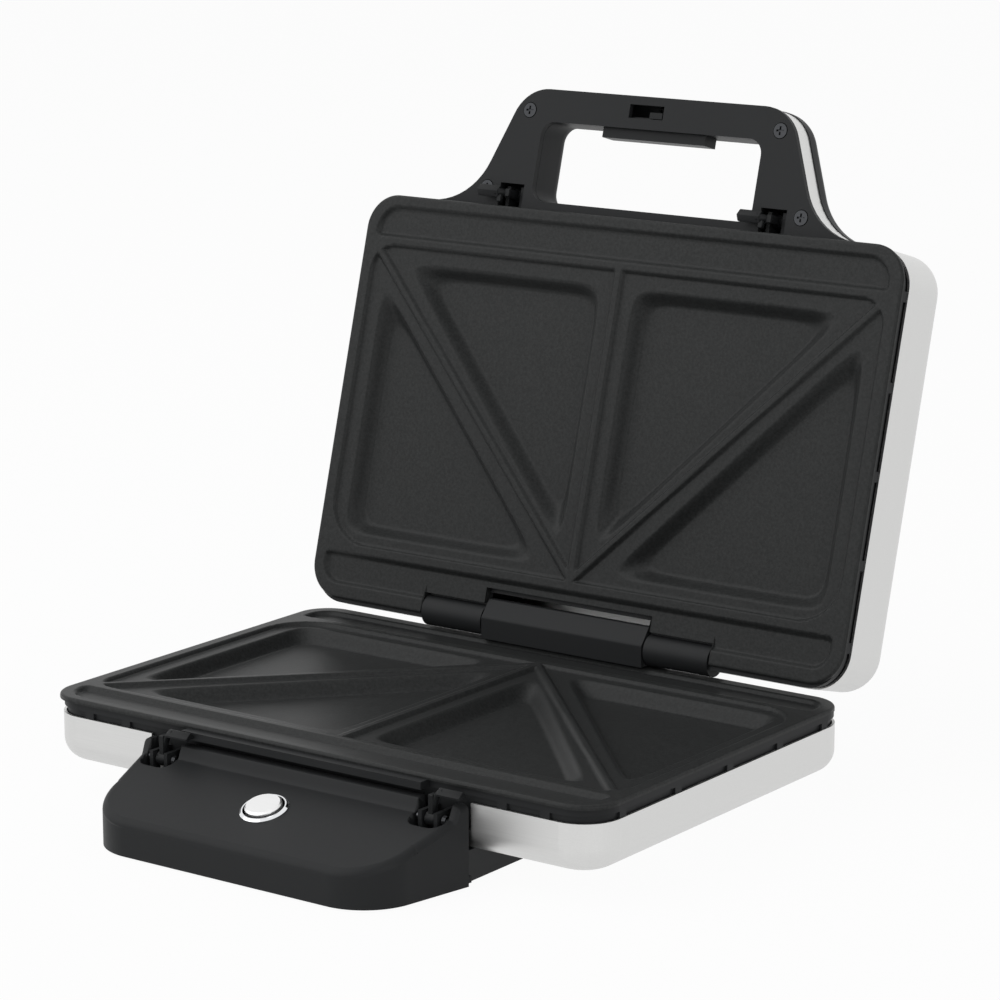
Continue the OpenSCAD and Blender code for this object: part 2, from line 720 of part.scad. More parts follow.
cap_up = 2.6;
module button_ring() color(chrome) at_button() difference() {
    translate([0, 0, -1]) union() {
        cylinder(h = 1.5, r = ring_d / 2);
        translate([0, 0, 1.5 - eps]) cylinder(h = 0.7, r1 = ring_d / 2, r2 = ring_d / 2 - 0.7);
    }
    translate([0, 0, -2]) cylinder(h = 6, r = button_d / 2 + 0.9);
}
module button_cap() color("#e2e2e2") at_button() {
    translate([0, 0, -3]) cylinder(h = 3 + cap_up - 0.6, r = button_d / 2);
    translate([0, 0, cap_up - 0.6 - eps]) cylinder(h = 0.6, r1 = button_d / 2, r2 = button_d / 2 - 0.6);
    translate([0, 0, -9.4]) cylinder(h = 6.5, r = 2.6);
}
// Coil of round wire along +Z
module coil(r, wire, turns, height, steps, sides) {
    n = turns * steps;
    pts = [for (i = [0:n], j = [0:sides - 1])
        let (a = 360 * i / steps, b = 360 * j / sides, q = r + wire * cos(b))
        [q * cos(a), q * sin(a), height * i / n + wire * sin(b)]];
    faces = concat(
        [[for (j = [0:sides - 1]) j]],
        [for (i = [0:n - 1], j = [0:sides - 1])
            let (k = (j + 1) % sides)
            each [[i * sides + j, i * sides + k, (i + 1) * sides + k],
                  [i * sides + j, (i + 1) * sides + k, (i + 1) * sides + j]]],
        [[for (j = [sides - 1:-1:0]) n * sides + j]]);
    polyhedron(pts, [for (f = faces) [for (i = [len(f) - 1:-1:0]) f[i]]]);
}
module button_spring() color("#b8babc") at_button()
    translate([0, 0, -11.2]) coil(4.6, 0.4, 5, 7.7, 12, 6);
module power_switch() color("#26272a") at_button() {
    translate([-6, -3.5, -17]) cube([12, 7, 4.5]);
    translate([0, 0, -12.6]) cylinder(h = 1.1, r = 1.8);
    difference() {
        translate([-10, -5, -12.7]) cube([20, 10, 1]);
        translate([0, 0, -13]) cylinder(h = 3, r = 2.3);
    }
}

// ---------- plate latches ----------

// One latch: eye on the pin, upright neck with a nose over the plate's edge, finger bar towards +X
module latch() difference() {
    union() {
        translate([-latch_w / 2, 0, 0]) rotate([0, 90, 0]) cylinder(h = latch_w, r = 2.6);
        translate([-latch_w / 2, -1.5, 0]) cube([latch_w, latch_t, latch_top - latch_pivot_z]);
        translate([-latch_w / 2, -1.5, latch_top - latch_pivot_z - 2])
            cube([latch_reach + latch_w / 2, 2.4, 2]);
        translate([latch_reach - 1, -2.3, latch_top - latch_pivot_z - 2.4])
            cube([1.6, 3.6, 2.8]);
    }
    translate([-latch_w, 0, 0]) rotate([0, 90, 0]) cylinder(h = 2 * latch_w, r = latch_pin_r + run_gap);
}
module at_base_latch(s) translate([s * latch_x, latch_y, latch_pivot_z]) children();
module base_latch_left() color(black) at_base_latch(-1) latch();
module base_latch_right() color(black) at_base_latch(1) latch();
// turned over, the lid's right-hand latch is the twin of the base's left-hand one
module lid_latch_left() color(black) on_lid() turned_over() at_base_latch(1) latch();
module lid_latch_right() color(black) on_lid() turned_over() at_base_latch(-1) latch();

module latch_pins() for (s = [-1, 1]) at_base_latch(s)
    rotate([0, 90, 0]) cylinder(h = 2 * notch_half - 0.6, r = latch_pin_r, center = true);
module base_latch_pins() color("#b8babc") latch_pins();
module lid_latch_pins() color("#b8babc") on_lid() turned_over() latch_pins();

// Torsion springs beside the latches, round the pins' outer ends
module latch_springs() for (s = [-1, 1]) at_base_latch(s)
    translate([latch_w / 2 + slide_gap + ear_t + 0.4, 0, 0]) rotate([0, 90, 0])
        coil(1.8, 0.3, 3, 1.5, 10, 5);
module base_latch_springs() color("#b8babc") latch_springs();
module lid_latch_springs() color("#b8babc") on_lid() turned_over() latch_springs();

// ---------- rear block ----------

module rear_block() color(black) difference() {
    union() {
        // post outside the back wall, standing on the base
        translate([-post_half, rear_y, 0]) cube([2 * post_half, rear_d, rim_z + 8]);
        // hinge head: upright face, rounded front edge, sloping top
        translate([-post_half, 0, 0]) rotate([90, 0, 90]) linear_extrude(2 * post_half)
            head_plan();
    }
    translate([-post_half - 1, hinge_y, hinge_z]) rotate([0, 90, 0])
        cylinder(h = 2 * post_half + 2, r = pin_r + run_gap);
    // seat of the cord gland
    translate([0, rear_y - 1, cord_z]) rotate([-90, 0, 0]) cylinder(h = rear_d + 2, r = gland_r + fit_gap);
}
// Section of the hinge head in Y and Z
head_low = plate_z + 0.9;
module head_plan() {
    fy = hinge_y - 6.2;
    er = 1.6;
    difference() {
        polygon(concat(
            [[rear_y + rear_d, rim_z], [rear_y + rear_d, hinge_z + 2]],
            arc(hinge_y, hinge_z, 8.9, 20, 96, 8),
            arc(fy + er, hinge_z + 3.6 - er, er, 125, 180, 4),
            [[fy, head_low], [rear_y, head_low], [rear_y, rim_z]]));
    }
}
gland_r = 4.6;
cord_r = 3.2;
cord_z = 6.6;
module cord_gland() color("#232325") translate([0, rear_y, cord_z]) rotate([-90, 0, 0]) difference() {
    union() {
        cylinder(h = rear_d, r = gland_r);
        translate([0, 0, rear_d]) cylinder(h = 2, r = gland_r + 1.4);
    }
    translate([0, 0, -1]) cylinder(h = rear_d + 4, r = cord_r);
}
term_w = 30;
term_d = 9;
module terminal_block() color("#e8e4d8") translate([-term_w / 2, back_y - 28, floor_z]) difference() {
    cube([term_w, term_d, 4]);
    for (k = [1, 3, 5]) translate([k * term_w / 6, term_d / 2, 2]) cylinder(h = 4, r = 1.6);
}

module hinge_pins() color("#b8babc") on_lid() for (s = [-1, 1])
    translate([s > 0 ? block_half - 12 : -barrel_end + 5, hinge_y, hinge_z]) rotate([0, 90, 0])
        cylinder(h = barrel_end - block_half + 7, r = pin_r);

// ---------- handle ----------

boss_places = [[handle_half + 8.2, handle_front + 9], [foot_half - 26.2, front_y - 8]];
boss_r = 4.6;
module at_handle_screws()
    for (s = [-1, 1], p = boss_places) translate([s * p[0], p[1], 0]) children();

module handle_inner() color(black) on_lid() difference() {
    union() {
        translate([0, 0, handle_z]) linear_extrude(handle_inner_t) difference() {
            handle_plan(0, front_y - 0.4);
            grip_plan(0);
        }
        // thicker inside the steel band and the sleeve
        translate([0, 0, handle_z + 1]) linear_extrude(handle_body_t - 1) difference() {
            handle_plan(flange_in + fit_gap, front_y - 0.4);
            grip_plan(sleeve_t + fit_gap);
        }
        translate([0, 0, handle_z + 1]) linear_extrude(handle_body_t - 1) intersection() {
            at_handle_screws() circle(boss_r);
            handle_plan(trim_in + trim_t + fit_gap, front_y - 0.4);
        }
    }
    // square openings for the plate latches, wider behind the face
    for (s = [-1, 1]) translate([s * latch_x - 5.8, front_y - 10.5, handle_z - 1])
        cube([11.6, 11, handle_body_t + 2]);
    translate([0, 0, handle_z + 1.2]) linear_extrude(handle_body_t) latch_gap();
    // window of the squeeze bar
    translate([window_x - window_half, handle_front + 3.4, handle_z - 1])
        cube([2 * window_half, 5.4, handle_body_t + 2]);
    at_handle_screws() {
        translate([0, 0, handle_z - 1]) cylinder(h = handle_body_t + 2, r = 1.8);
        translate([0, 0, handle_z - 1]) cylinder(h = 2.4, r = 3.2);
    }
    // trough of the squeeze bar
    translate([-bar_half - slide_gap, handle_front + trim_in + trim_t, trim_z])
        cube([2 * (bar_half + slide_gap), grip_d, handle_body_t]);
}

// Stamped steel: a band along the handle's outside with a flange turned in under it
module handle_trim() color(steel) on_lid() {
    translate([0, 0, trim_z]) linear_extrude(1) difference() {
        handle_plan(trim_in, front_y - 0.4);
        handle_plan(flange_in, front_y + 1);
        at_handle_screws() circle(boss_r + fit_gap);
        squeeze_gap();
        latch_gap();
    }
    translate([0, 0, trim_z]) linear_extrude(trim_h) difference() {
        handle_plan(trim_in, front_y - 0.4);
        handle_plan(trim_in + trim_t, front_y + 1);
    }
}
module squeeze_gap()
    translate([-bar_half - slide_gap, bar_y0 - 6.3]) square([2 * (bar_half + slide_gap), 16]);
module latch_gap()
    for (s = [-1, 1]) translate([s * latch_x - 7.2, front_y - 10.5]) square([14.4, 11]);

// Layers of the outer cover: height over its foot, thickness, and how far its edges are moved in
outer_layers = [[0, handle_outer_t - 6, 0, 0], [handle_outer_t - 6, 2, 0.6, 0.4],
                [handle_outer_t - 4, 2, 1.6, 1.2], [handle_outer_t - 2, 2, 3.2, 2.4]];
module handle_outer() color(black) on_lid() difference() {
    union() {
        for (k = outer_layers) translate([0, 0, outer_z + k[0]]) linear_extrude(k[1])
            difference() {
                handle_plan(k[2], front_y - 0.4);
                grip_plan(k[3]);
            }
        // sleeve that lines the finger opening, with a gap for the squeeze bar
        translate([0, 0, trim_z]) linear_extrude(trim_h) difference() {
            grip_plan(sleeve_t);
            grip_plan(0);
            squeeze_gap();
        }
        // tubes that reach the inner cover
        at_handle_screws() translate([0, 0, body_z]) cylinder(h = outer_z - body_z + 1, r = 3.6);
    }
    at_handle_screws() translate([0, 0, body_z - 1]) cylinder(h = outer_z - body_z + 6, r = 1.3);
}
module handle_screws() color("#3a3b3d") on_lid() at_handle_screws() {
    translate([0, 0, handle_z - 0.2]) difference() {
        cylinder(h = 1.6, r = 2.9);
        for (a = [0, 90]) rotate([0, 0, a]) translate([-1.7, -0.4, -1]) cube([3.4, 0.8, 1.7]);
    }
    translate([0, 0, handle_z + 1.4 - eps]) cylinder(h = outer_z - handle_z + 0.5, r = 1.28);
}

// Squeeze bar: fingers press it towards the front edge
bar_y0 = grip_y - 5;
bar_z = trim_z + 0.3;
tongue_x = window_x + 1.4;
module squeeze_bar() color(black) on_lid() {
    translate([-bar_half, bar_y0, bar_z]) cube([2 * bar_half, 9, outer_z - bar_z - slide_gap]);
    // tongue in the window, on an arm from the bar
    translate([tongue_x, handle_front + 6, handle_z + 0.6]) cube([5.8, 2.4, 3]);
    translate([tongue_x, handle_front + 6, bar_z]) cube([5.8, bar_y0 - handle_front - 5, 2.6]);
}
module squeeze_spring() color("#b8babc") on_lid()
    translate([0, bar_y0 - 5.7, handle_z + 8]) rotate([-90, 0, 0]) coil(2, 0.35, 4, 5.2, 10, 5);

// ---------- output ----------

base_pan();
base_frame();
lower_plate();
lower_element();
lower_reflector();
thermostat();
front_block();
base_spine();
foot_pads();
button_ring();
button_cap();
button_spring();
power_switch();
rear_block();
cord_gland();
base_screws();
terminal_block();
base_latch_left();
base_latch_right();
base_latch_pins();
base_latch_springs();
lid_shell();
lid_frame();
upper_plate();
upper_element();
upper_reflector();
handle_inner();
handle_trim();
handle_outer();
handle_screws();
hinge_pins();
squeeze_bar();
squeeze_spring();
lid_latch_left();
lid_latch_right();
lid_latch_pins();
lid_latch_springs();
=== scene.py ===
"""Sandwich toaster with a hinged lid, shown open. Metres, in the same frame as the CAD.

Lengths in the shape functions are in millimetres and become metres when a mesh is made.
"""
import json
import math

import bmesh
import bpy
import numpy as np
from mathutils import Matrix, Vector


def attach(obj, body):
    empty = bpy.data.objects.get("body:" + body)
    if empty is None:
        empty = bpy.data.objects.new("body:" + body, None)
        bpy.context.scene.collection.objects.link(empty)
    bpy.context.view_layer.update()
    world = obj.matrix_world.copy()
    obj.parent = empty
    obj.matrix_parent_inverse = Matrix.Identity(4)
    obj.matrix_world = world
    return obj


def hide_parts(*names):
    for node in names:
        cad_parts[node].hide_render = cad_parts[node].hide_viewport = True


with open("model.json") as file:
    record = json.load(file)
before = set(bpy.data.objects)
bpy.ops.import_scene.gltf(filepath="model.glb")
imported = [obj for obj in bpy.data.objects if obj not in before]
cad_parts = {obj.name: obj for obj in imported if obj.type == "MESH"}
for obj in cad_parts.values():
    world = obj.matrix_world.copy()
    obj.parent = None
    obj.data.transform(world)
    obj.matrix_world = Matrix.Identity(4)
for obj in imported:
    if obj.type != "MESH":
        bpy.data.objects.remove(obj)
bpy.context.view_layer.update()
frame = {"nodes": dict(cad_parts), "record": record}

MM = 0.001

# ---------- sizes, in millimetres, as in the part's source ----------

CASE_W, CASE_D = 250.0, 167.0
HALF_W = CASE_W / 2
FRONT_Y, BACK_Y = -CASE_D / 2, CASE_D / 2
RIM_Z = 30.0
PLATE_Z = 37.0
MEET_Z = 37.5
HINGE = np.array([0.0, BACK_Y - 4.0, 43.9])
LID_OPEN = 105.6


# ---------- surfaces ----------

def smooth(t):
    """0 below 0, 1 above 1, and 3t^2 - 2t^3 between."""
    t = np.clip(t, 0.0, 1.0)
    return t * t * (3.0 - 2.0 * t)


def arc_points(cx, cy, r, a0, a1, n):
    """n + 1 points of a circle of radius r about (cx, cy), from angle a0 to a1 in degrees."""
    a = np.radians(np.linspace(a0, a1, n + 1))
    return np.stack([cx + r * np.cos(a), cy + r * np.sin(a)], 1)


def level(line, z):
    """A plan line at one height."""
    return np.column_stack([line, np.full(len(line), z)])


def turned_over(p):
    """Half a turn about the line x = 0, z = MEET_Z: the lower half's twin in the closed lid."""
    q = p.copy()
    q[..., 0] = -p[..., 0]
    q[..., 2] = 2 * MEET_Z - p[..., 2]
    return q


def on_lid(p):
    """A turn of -LID_OPEN degrees about the hinge line, from the closed lid to the open one."""
    t = math.radians(-LID_OPEN)
    q = p - HINGE
    out = q.copy()
    out[..., 1] = q[..., 1] * math.cos(t) - q[..., 2] * math.sin(t)
    out[..., 2] = q[..., 1] * math.sin(t) + q[..., 2] * math.cos(t)
    return out + HINGE


def lid_twin(p):
    """Turns a lower-half point over into the closed lid, and the lid to its open rest."""
    return on_lid(turned_over(p))


def band_quads(rows, cols):
    """Faces of a grid of rows x cols points that is wrapped along its columns."""
    r = np.arange(rows - 1)[:, None]
    c = np.arange(cols)[None, :]
    d = (c + 1) % cols
    return np.stack([r * cols + c, r * cols + d,
                     (r + 1) * cols + d, (r + 1) * cols + c], -1).reshape(-1, 4)


def capped(rings):
    """Rings of points as a part: its quads, and an n-gon at each end."""
    rows, cols = rings.shape[:2]
    ends = [np.arange(cols)[::-1], (rows - 1) * cols + np.arange(cols)]
    return rings, band_quads(rows, cols), ends


def grid_border(a):
    """The border of a grid of values, once round: first column side, then the other three."""
    return np.concatenate([a[:, 0], a[-1, 1:], a[-2::-1, -1], a[0, -2:0:-1]])


def edge_spaced(low, high, step):
    """Places from low to high about one step apart, crowded at both ends for rounded edges."""
    ends = np.array([0.0, 0.06, 0.2, 0.45, 0.85, 1.5])
    margin = ends[-1]
    count = int((high - low - 2 * margin) / step) - 1
    inner = np.linspace(low + margin + step, high - margin - step, count)
    return np.concatenate([low + ends, inner, high - ends[::-1]])


def inside_rounded(x, y, x0, x1, y0, y1, r):
    """Distance inside a rounded rectangle: r less the length of what passes its corner's centre."""
    qx = np.abs(x - (x0 + x1) / 2) - (x1 - x0) / 2 + r
    qy = np.abs(y - (y0 + y1) / 2) - (y1 - y0) / 2 + r
    return r - np.hypot(np.maximum(qx, 0), np.maximum(qy, 0)) - np.minimum(np.maximum(qx, qy), 0)


def slope_normals(height, x, y, step=0.12):
    """Unit normals of z = height(x, y), from central differences."""
    n = np.stack([(height(x - step, y) - height(x + step, y)) / (2 * step),
                  (height(x, y - step) - height(x, y + step)) / (2 * step),
                  np.ones_like(x)], -1)
    return n / np.linalg.norm(n, axis=-1, keepdims=True)


# ---------- meshes ----------

def place_piece(name, mesh, body, replaces):
    """Puts a mesh in the scene as a piece that rides on a body and stands for a CAD node."""
    piece = bpy.data.objects.new(name, mesh)
    bpy.context.scene.collection.objects.link(piece)
    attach(piece, body)
    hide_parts(replaces)
    return piece


def merge_doubles(mesh):
    """Joins points closer than a micrometre, and turns the faces outwards."""
    bm = bmesh.new()
    bm.from_mesh(mesh)
    bmesh.ops.remove_doubles(bm, verts=bm.verts, dist=1e-6)
    bmesh.ops.recalc_face_normals(bm, faces=bm.faces)
    bm.to_mesh(mesh)
    bm.free()


def make_piece(name, parts, body, material, replaces, sharp_degrees):
    """One mesh from (points, quads, n-gons) parts, sharp only at bends past sharp_degrees."""
    points, faces, base = [], [], 0
    for pts, quads, ngons in parts:
        points.append(pts.reshape(-1, 3))
        faces += (quads + base).tolist()
        faces += [(g + base).tolist() for g in ngons]
        base += len(points[-1])
    mesh = bpy.data.meshes.new(name)
    mesh.from_pydata((np.concatenate(points) * MM).tolist(), [], faces)
    mesh.validate()
    merge_doubles(mesh)
    mesh.materials.append(material)
    mesh.polygons.foreach_set("use_smooth", np.ones(len(mesh.polygons), bool))
    mesh.set_sharp_from_angle(angle=math.radians(sharp_degrees))
    place_piece(name, mesh, body, replaces)


def raised_sheet(name, x, y, top, normals, rings, body, material, replaces, turn=None):
    """A closed piece: a grid of points seen from above, and rings that carry its border down.

    Each ring is (n, 3); the last is closed by a fan to its middle. The grid keeps the
    normals of its own formula, and the rings are flat faced.
    """
    nx, ny = x.shape
    index = np.arange(nx * ny).reshape(nx, ny)
    above, count = grid_border(index), nx * ny
    n = len(above)
    points = [np.stack([x, y, top], -1).reshape(-1, 3)]
    quads = [np.stack([index[:-1, :-1], index[1:, :-1],
                       index[1:, 1:], index[:-1, 1:]], -1).reshape(-1, 4)]
    for ring in rings:
        below = np.arange(count, count + n)
        quads.append(np.stack([above, below, np.roll(below, -1), np.roll(above, -1)], -1))
        points.append(ring)
        above, count = below, count + n
    points.append(rings[-1].mean(0, keepdims=True))
    fan = np.stack([above, np.full(n, count), np.roll(above, -1)], -1)
    points, quads = np.concatenate(points), np.concatenate(quads)
    if turn:
        points = turn(points)
        normals = turn(normals.reshape(-1, 3)) - turn(np.zeros((1, 3)))
    mesh = bpy.data.meshes.new(name)
    mesh.from_pydata((points * MM).tolist(), [], quads.tolist() + fan.tolist())
    grid_faces = (nx - 1) * (ny - 1)
    soft = np.zeros(len(mesh.polygons), bool)
    soft[:grid_faces] = True
    mesh.polygons.foreach_set("use_smooth", soft)
    loops = np.zeros((len(mesh.loops), 3))
    loops[:4 * grid_faces] = normals.reshape(-1, 3)[quads[:grid_faces].reshape(-1)]
    mesh.normals_split_custom_set(loops.tolist())
    mesh.materials.append(material)
    place_piece(name, mesh, body, replaces)


# ---------- materials ----------

def colour(text):
    """An sRGB hex value as linear red, green, blue and alpha."""
    c = np.array([int(text[i:i + 2], 16) for i in (1, 3, 5)]) / 255.0
    lin = np.where(c <= 0.04045, c / 12.92, ((c + 0.055) / 1.055) ** 2.4)
    return (*[float(v) for v in lin], 1.0)


def add(tree, kind, settings=None, links=None):
    """Adds a node, sets its inputs or properties by name, links inputs to (node, output) pairs.

    A Mix node for colour has its factor at input 0, its colours at 6 and 7, its result at 2.
    """
    node = tree.nodes.new(kind)
    for key, value in (settings or {}).items():
        if isinstance(key, str) and hasattr(node, key) and key not in node.inputs:
            setattr(node, key, value)
        else:
            node.inputs[key].default_value = value
    for key, (source, output) in (links or {}).items():
        tree.links.new(source.outputs[output], node.inputs[key])
    return node


def new_material(name):
    """An empty node material, its tree and its output node."""
    mat = bpy.data.materials.new(name)
    mat.use_nodes = True
    mat.node_tree.nodes.clear()
    return mat, mat.node_tree, add(mat.node_tree, "ShaderNodeOutputMaterial")


def moulded_plastic(name, base, light, roughness, bump=0.12, sheen=0.5):
    """Injection-moulded thermoplastic with a spark-eroded grain: a soft, broad highlight."""
    mat, tree, out = new_material(name)
    place = add(tree, "ShaderNodeTexCoord")
    # the real grain is about 0.35 mm; it is drawn at 1.4 mm, four times as coarse
    grain = add(tree, "ShaderNodeTexNoise",
                {"Scale": 1000.0 / 0.35 / 4, "Detail": 3.0, "Roughness": 0.6},
                {"Vector": (place, "Object")})
    cloud = add(tree, "ShaderNodeTexNoise", {"Scale": 18.0, "Detail": 3.0},
                {"Vector": (place, "Object")})
    tone = add(tree, "ShaderNodeMix", {"data_type": "RGBA", 6: colour(base), 7: colour(light)},
               {0: (cloud, "Fac")})
    rough = add(tree, "ShaderNodeMapRange",
                {"To Min": roughness - 0.04, "To Max": roughness + 0.06},
                {"Value": (grain, "Fac")})
    relief = add(tree, "ShaderNodeBump", {"Strength": bump, "Distance": 0.0001},
                 {"Height": (grain, "Fac")})
    shader = add(tree, "ShaderNodeBsdfPrincipled", {"IOR": 1.5, "Specular IOR Level": sheen},
                 {"Base Color": (tone, 2), "Roughness": (rough, "Result"),
                  "Normal": (relief, "Normal")})
    tree.links.new(shader.outputs["BSDF"], out.inputs["Surface"])
    return mat


def nonstick_coating():
    """Sprayed PTFE coat on die-cast aluminium: dark grey, with a fine pale grain."""
    mat, tree, out = new_material("nonstick_coating")
    place = add(tree, "ShaderNodeTexCoord")
    # the real grain is about 0.2 mm; it is drawn in 1.2 mm cells with finer ones inside
    peel = add(tree, "ShaderNodeTexNoise", {"Scale": 850.0, "Detail": 3.0, "Roughness": 0.7},
               {"Vector": (place, "Object")})
    sharp = add(tree, "ShaderNodeMapRange", {"From Min": 0.35, "From Max": 0.68},
                {"Value": (peel, "Fac")})
    cloud = add(tree, "ShaderNodeTexNoise", {"Scale": 30.0, "Detail": 3.0},
                {"Vector": (place, "Object")})
    tone = add(tree, "ShaderNodeMix",
               {"data_type": "RGBA", 6: colour("#242525"), 7: colour("#2a2b2b")},
               {0: (cloud, "Fac")})
    speck = add(tree, "ShaderNodeMix", {"data_type": "RGBA", 7: colour("#343535")},
                {0: (sharp, "Result"), 6: (tone, 2)})
    rough = add(tree, "ShaderNodeMapRange", {"To Min": 0.34, "To Max": 0.44},
                {"Value": (peel, "Fac")})
    relief = add(tree, "ShaderNodeBump", {"Strength": 0.3, "Distance": 0.0002},
                 {"Height": (peel, "Fac")})
    shader = add(tree, "ShaderNodeBsdfPrincipled", {"IOR": 1.4, "Specular IOR Level": 0.18},
                 {"Base Color": (speck, 2), "Roughness": (rough, "Result"),
                  "Normal": (relief, "Normal")})
    tree.links.new(shader.outputs["BSDF"], out.inputs["Surface"])
    return mat


def brushed_steel(name, base, light, roughness):
    """Stainless steel sheet, brushed in one direction: long faint lines, a stretched highlight."""
    mat, tree, out = new_material(name)
    place = add(tree, "ShaderNodeTexCoord")
    # real brush lines are about 0.05 mm apart; they are drawn 0.3 mm apart and 28 mm long
    turn = add(tree, "ShaderNodeMapping", {"Scale": (3.0, 260.0, 260.0)},
               {"Vector": (place, "Object")})
    lines = add(tree, "ShaderNodeTexNoise", {"Scale": 12.0, "Detail": 4.0, "Roughness": 0.6},
                {"Vector": (turn, "Vector")})
    tone = add(tree, "ShaderNodeMix", {"data_type": "RGBA", 6: colour(base), 7: colour(light)},
               {0: (lines, "Fac")})
    rough = add(tree, "ShaderNodeMapRange",
                {"To Min": roughness - 0.06, "To Max": roughness + 0.08},
                {"Value": (lines, "Fac")})
    relief = add(tree, "ShaderNodeBump", {"Strength": 0.08, "Distance": 0.00005},
                 {"Height": (lines, "Fac")})
    shader = add(tree, "ShaderNodeBsdfPrincipled", {"Metallic": 1.0},
                 {"Base Color": (tone, 2), "Roughness": (rough, "Result"),
                  "Normal": (relief, "Normal")})
    tree.links.new(shader.outputs["BSDF"], out.inputs["Surface"])
    return mat


def plain_metal(name, base, roughness):
    """Drawn or plated metal with a faint unevenness in its gloss, in patches of 3 mm."""
    mat, tree, out = new_material(name)
    place = add(tree, "ShaderNodeTexCoord")
    wear = add(tree, "ShaderNodeTexNoise", {"Scale": 300.0, "Detail": 3.0},
               {"Vector": (place, "Object")})
    rough = add(tree, "ShaderNodeMapRange",
                {"To Min": roughness * 0.8, "To Max": roughness * 1.25},
                {"Value": (wear, "Fac")})
    shader = add(tree, "ShaderNodeBsdfPrincipled", {"Metallic": 1.0, "Base Color": colour(base)},
                 {"Roughness": (rough, "Result")})
    tree.links.new(shader.outputs["BSDF"], out.inputs["Surface"])
    return mat


# black glass-filled nylon: dull, with a fine even grain
CASE_PLASTIC = moulded_plastic("fine_grain_black_plastic", "#262728", "#2a2b2c", 0.45, sheen=0.12)
# black acetal: a shade darker and smoother, as on small working parts
LATCH_PLASTIC = moulded_plastic("smooth_black_plastic", "#1e1f20", "#222324", 0.38,
                                bump=0.05, sheen=0.12)
COATING = nonstick_coating()
CASE_STEEL = brushed_steel("satin_stainless_steel", "#cdcdcc", "#dbdbda", 0.36)
CAP_STEEL = brushed_steel("satin_button_steel", "#e6e6e6", "#f0f0f0", 0.3)
# chromium plate: nearly a mirror, a little blue
CHROME = plain_metal("bright_chrome_plate", "#e6e7e9", 0.1)
# spring steel wire, coloured dark grey and half bright
WIRE = plain_metal("dark_spring_wire", "#48494b", 0.35)
# nickel-alloy tube that has been hot: warm grey and dull
SHEATH = plain_metal("heat_stained_sheath", "#7a746b", 0.45)
# rolled aluminium sheet: bright, as it leaves the mill
SHEET = plain_metal("mill_bright_sheet", "#c2c4c6", 0.3)
# black-oxide steel screws: nearly black, with a dull glint
SCREW = plain_metal("blackened_screw_steel", "#3a3b3d", 0.4)
# steatite: matt and off-white
CERAMIC = moulded_plastic("unglazed_ceramic", "#ddd7c8", "#e8e2d4", 0.6)
# vulcanised rubber: matt black
RUBBER = moulded_plastic("soft_black_rubber", "#191a1a", "#202121", 0.7)

FINISH = {
    "steel": CASE_STEEL, "black_plastic": CASE_PLASTIC, "nonstick": COATING,
    "element_sheath": SHEATH, "bright_sheet": SHEET, "ceramic": CERAMIC,
    "foot_rubber": RUBBER, "chrome_ring": CHROME, "button_steel": CAP_STEEL,
    "spring_steel": WIRE, "latch_plastic": LATCH_PLASTIC, "screw_black": SCREW,
}
for entry in frame["record"]["subparts"]:
    node = frame["nodes"][entry["node"]]
    node.data.materials.clear()
    node.data.materials.append(FINISH[entry["material_slot"]])


# ---------- cooking plates ----------

POCKET_HALF, POCKET_FRONT, POCKET_BACK = 120.0, -63.5, 59.0
POCKET_FRONT_R, POCKET_BACK_R = 10.0, 18.0
PLATE_HALF, PLATE_FRONT, PLATE_BACK, PLATE_R = HALF_W + 0.6, FRONT_Y - 0.6, BACK_Y - 2.0, 14.0
RIM_ROUND, RIM_UNDER_Z = 1.0, 35.2
# the plate's body under the rim, and the tub under the wells
BODY_TOP_Z, BODY_UNDER_Z, BODY_IN = PLATE_Z - 1.3, 33.0, 3.2
DIVIDER_W, RIB_W = 3.6, 3.4
LEDGE_T, WELL_T, CHANNEL_T = 1.6, 7.0, 1.8
TUB_FLOOR_Z = PLATE_Z - WELL_T - 2.6
TUB_NARROWER, TUB_SHORTER, TUB_SHIFT = (POCKET_HALF - 1.5) / (PLATE_HALF - BODY_IN), 0.745, -1.3
RIB_FRONT = np.array([POCKET_HALF - 6.5, POCKET_FRONT + 6.3])
RIB_BACK = np.array([DIVIDER_W / 2 + 4.7, POCKET_BACK - 7.1])
# each well's three sharp corners, in plan
WELLS = (
    ((DIVIDER_W / 2 + 5.9, POCKET_FRONT + 6.6), (RIB_FRONT[0] - 9.8, POCKET_FRONT + 6.6),
     (DIVIDER_W / 2 + 5.9, RIB_BACK[1] - 5.1)),
    ((POCKET_HALF - 6.2, RIB_FRONT[1] + 8.2), (POCKET_HALF - 6.2, POCKET_BACK - 4.4),
     (RIB_BACK[0] + 9.4, POCKET_BACK - 4.4)),
)
# (half width, back edge) of the cuts that let the hinge into the upper plate
HINGE_NOTCHES = ((68.5, 72.9), (39.0, 69.5))
NOTCH_REACH = 69.0
# the notches draw in only what lies behind this line
TAIL_Y = POCKET_BACK + 5
# an edge this far off has no say in a distance
FAR = 40.0
PLATE_STEP = 0.75


def inside_triangle(x, y, corners, soft=3.5):
    """Distance inside a triangle with softened corners: -s log(sum of exp(-d / s)) on its sides."""
    corners = [np.array(c) for c in corners]
    middle = sum(corners) / 3
    total = 0
    for a, b in zip(corners, corners[1:] + corners[:1]):
        nx, ny = (a - b)[1] / np.hypot(*(b - a)), (b - a)[0] / np.hypot(*(b - a))
        side = np.sign((middle[0] - a[0]) * nx + (middle[1] - a[1]) * ny)
        total = total + np.exp(-side * ((x - a[0]) * nx + (y - a[1]) * ny) / soft)
    return -soft * np.log(total)


